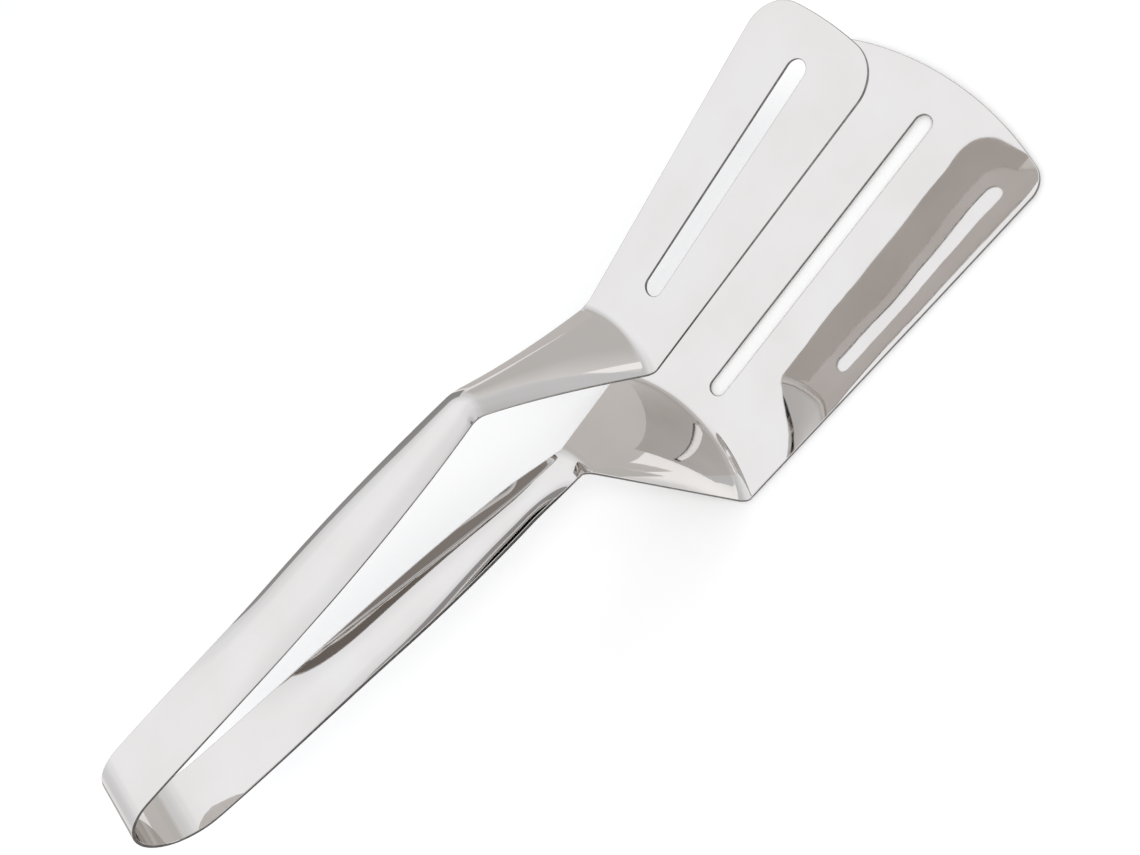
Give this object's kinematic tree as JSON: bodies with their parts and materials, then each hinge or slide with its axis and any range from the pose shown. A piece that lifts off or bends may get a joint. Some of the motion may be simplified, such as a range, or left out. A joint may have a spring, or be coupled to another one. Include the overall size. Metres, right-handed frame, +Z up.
{
  "type": "barbecue tongs",
  "caption": "Spring tongs for turning food: a wide slotted lower blade and a narrower slotted upper blade on one folded strip of polished steel.",
  "frame": {"origin": "On the resting plane, under the middle of the object's box. The lower blade lies flat on that plane.", "axes": "+X runs from the spring bow towards the blade tips, +Y across the blades and +Z up from the resting plane."},
  "size_m": [0.2633, 0.074, 0.1163],
  "materials": {
    "lower_blade": "mirror-polished stainless steel sheet",
    "lower_shoulder": "mirror-polished stainless steel sheet",
    "lower_arm": "mirror-polished stainless steel sheet",
    "lower_bow": "mirror-polished stainless steel sheet",
    "upper_bow": "mirror-polished stainless steel sheet",
    "upper_arm": "mirror-polished stainless steel sheet",
    "upper_shoulder": "mirror-polished stainless steel sheet",
    "upper_blade": "mirror-polished stainless steel sheet"
  },
  "bodies": {
    "lower_half": {"lower_blade": "lower_blade", "lower_shoulder": "lower_shoulder", "lower_arm": "lower_arm", "lower_bow": "lower_bow"},
    "upper_half": {"upper_bow": "upper_bow", "upper_arm": "upper_arm", "upper_shoulder": "upper_shoulder", "upper_blade": "upper_blade"}
  },
  "joints": [
    {"name": "bow_flex", "type": "hinge", "parent": "lower_half", "child": "upper_half", "pos_m": [-0.13052, 0, 0.10544], "axis": [0, 1, 0], "range_deg": [0, 15], "stiffness_Nm_per_rad": 4}
  ]
}
